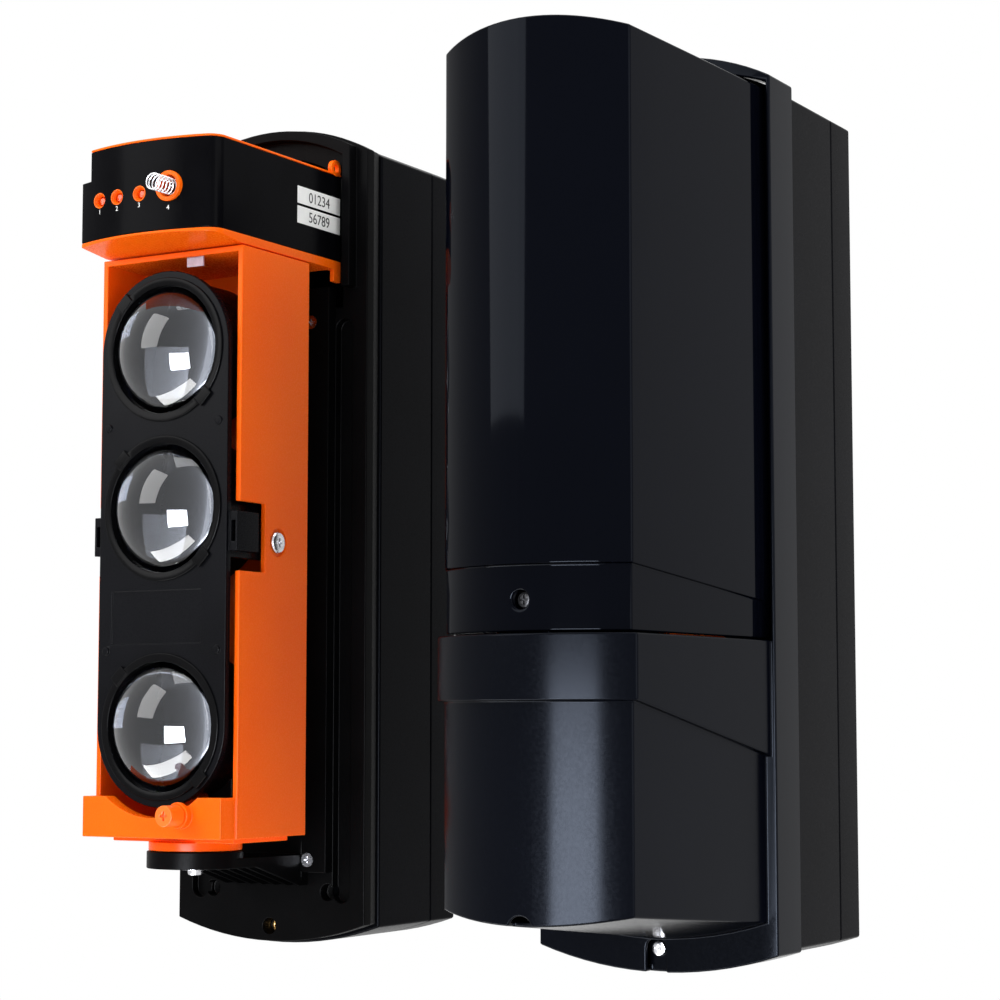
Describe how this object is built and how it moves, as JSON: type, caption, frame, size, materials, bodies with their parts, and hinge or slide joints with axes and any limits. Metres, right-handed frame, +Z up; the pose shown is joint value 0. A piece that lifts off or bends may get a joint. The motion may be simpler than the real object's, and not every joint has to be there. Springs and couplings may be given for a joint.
{
  "type": "infrared gate photocell pair",
  "caption": "Infrared gate photocell pair: an open receiver with stacked lenses on a column that turns and tilts, and a transmitter closed under a glossy dark cover.",
  "frame": {"origin": "on the wall face behind the transmitter, on its centre line, half way up its cover's front corners", "axes": "+X to the right seen from the front, +Y into the wall, +Z up"},
  "size_m": [0.2796, 0.1819, 0.3412],
  "materials": {
    "box": "fine grain",
    "gasket": "grained",
    "plate": "fine grain",
    "brass": "turned",
    "rubber": "smooth",
    "terminal": "moulded",
    "steel": "plated",
    "orange": "polished",
    "fascia": "polished",
    "white": "smooth",
    "board": "lacquered",
    "led": "clear",
    "plunger": "moulded",
    "ribbon": "smooth",
    "frame": "satin",
    "lens": "clear",
    "ring": "satin",
    "diode": "clear",
    "adjuster": "moulded",
    "cover": "polished",
    "window": "polished",
    "black_screw": "blackened"
  },
  "bodies": {
    "base": {"rx_back_lid": "box", "rx_back_box": "box", "rx_gasket": "gasket", "rx_base_plate": "plate", "rx_brass_insert": "brass", "rx_cable_grommet": "rubber", "rx_terminal_block": "terminal", "rx_cradle": "plate", "rx_base_screws": "steel", "rx_head_shell": "orange", "rx_fascia": "fascia", "rx_label_plates": "white", "rx_head_board": "board", "rx_indicator_leds": "led", "tx_back_lid": "box", "tx_back_box": "box", "tx_gasket": "gasket", "tx_base_plate": "plate", "tx_brass_insert": "brass", "tx_cable_grommet": "rubber", "tx_terminal_block": "terminal", "tx_cradle": "plate", "tx_base_screws": "steel", "tx_head_shell": "orange", "tx_fascia": "fascia", "tx_label_plates": "white", "tx_head_board": "board", "tx_indicator_leds": "led"},
    "rx_pan": {"rx_column": "orange", "rx_pan_screw": "steel", "rx_signal_ribbon": "ribbon"},
    "rx_tilt": {"rx_lens_frame": "frame", "rx_tilt_screws": "steel", "rx_lens_top": "lens", "rx_lens_middle": "lens", "rx_lens_bottom": "lens", "rx_lens_rings": "ring", "rx_sensor_board": "board", "rx_infrared_diodes": "diode"},
    "rx_adjust": {"rx_adjusting_screw": "adjuster"},
    "rx_tamper": {"rx_tamper_plunger": "plunger", "rx_tamper_spring": "steel"},
    "tx_pan": {"tx_column": "orange", "tx_pan_screw": "steel", "tx_signal_ribbon": "ribbon"},
    "tx_tilt": {"tx_lens_frame": "frame", "tx_tilt_screws": "steel", "tx_lens_top": "lens", "tx_lens_middle": "lens", "tx_lens_bottom": "lens", "tx_lens_rings": "ring", "tx_sensor_board": "board", "tx_infrared_diodes": "diode"},
    "tx_adjust": {"tx_adjusting_screw": "adjuster"},
    "tx_tamper": {"tx_tamper_plunger": "plunger", "tx_tamper_spring": "steel"},
    "tx_cover": {"tx_cover_frame": "cover"},
    "tx_window": {"tx_window": "window"},
    "tx_window_screw": {"tx_window_screw": "black_screw"},
    "tx_cover_screw": {"tx_cover_screw": "steel"}
  },
  "joints": [
    {"name": "rx_pan_turn", "type": "hinge", "parent": "base", "child": "rx_pan", "pos_m": [-0.1832, -0.1166, -0.13], "axis": [0, 0, 1], "range_deg": [-90, 90]},
    {"name": "rx_tilt_turn", "type": "hinge", "parent": "rx_pan", "child": "rx_tilt", "pos_m": [-0.1832, -0.111, -0.0158], "axis": [1, 0, 0], "range_deg": [-8, 8]},
    {"name": "rx_adjust_turn", "type": "hinge", "parent": "rx_pan", "child": "rx_adjust", "pos_m": [-0.1682, -0.14, -0.12115], "axis": [0, 1, 0], "range_deg": [-1320, 1320]},
    {"name": "rx_tamper_press", "type": "slide", "parent": "base", "child": "rx_tamper", "axis": [0, 1, 0], "range_m": [0, 0.0025], "stiffness_N_per_m": 300, "springref_m": -0.001},
    {"name": "tx_pan_turn", "type": "hinge", "parent": "base", "child": "tx_pan", "pos_m": [0, -0.1166, -0.13], "axis": [0, 0, 1], "range_deg": [-4, 4]},
    {"name": "tx_tilt_turn", "type": "hinge", "parent": "tx_pan", "child": "tx_tilt", "pos_m": [0, -0.111, -0.0158], "axis": [1, 0, 0], "range_deg": [-8, 8]},
    {"name": "tx_adjust_turn", "type": "hinge", "parent": "tx_pan", "child": "tx_adjust", "pos_m": [0.015, -0.14, -0.12115], "axis": [0, 1, 0], "range_deg": [-1320, 1320]},
    {"name": "tx_tamper_press", "type": "slide", "parent": "base", "child": "tx_tamper", "axis": [0, 1, 0], "range_m": [0, 0.0025], "stiffness_N_per_m": 300, "springref_m": -0.001},
    {"name": "cover_off", "type": "slide", "parent": "base", "child": "tx_cover", "axis": [0, -1, 0], "range_m": [0, 0.12]},
    {"name": "window_off", "type": "slide", "parent": "tx_cover", "child": "tx_window", "axis": [0, -1, 0], "range_m": [0, 0.06]},
    {"name": "window_screw_turn", "type": "hinge", "parent": "tx_window", "child": "tx_window_screw", "pos_m": [0, -0.174, -0.04505], "axis": [0, 1, 0], "range_deg": [-2520, 0]},
    {"name": "cover_screw_turn", "type": "hinge", "parent": "tx_cover", "child": "tx_cover_screw", "pos_m": [0, -0.075, -0.16865], "axis": [0, 1, 0], "range_deg": [-4320, 0]}
  ],
  "couplings": [
    {"joint": "rx_adjust_turn", "follows": "rx_tilt_turn", "ratio": -165},
    {"joint": "tx_adjust_turn", "follows": "tx_tilt_turn", "ratio": -165}
  ]
}
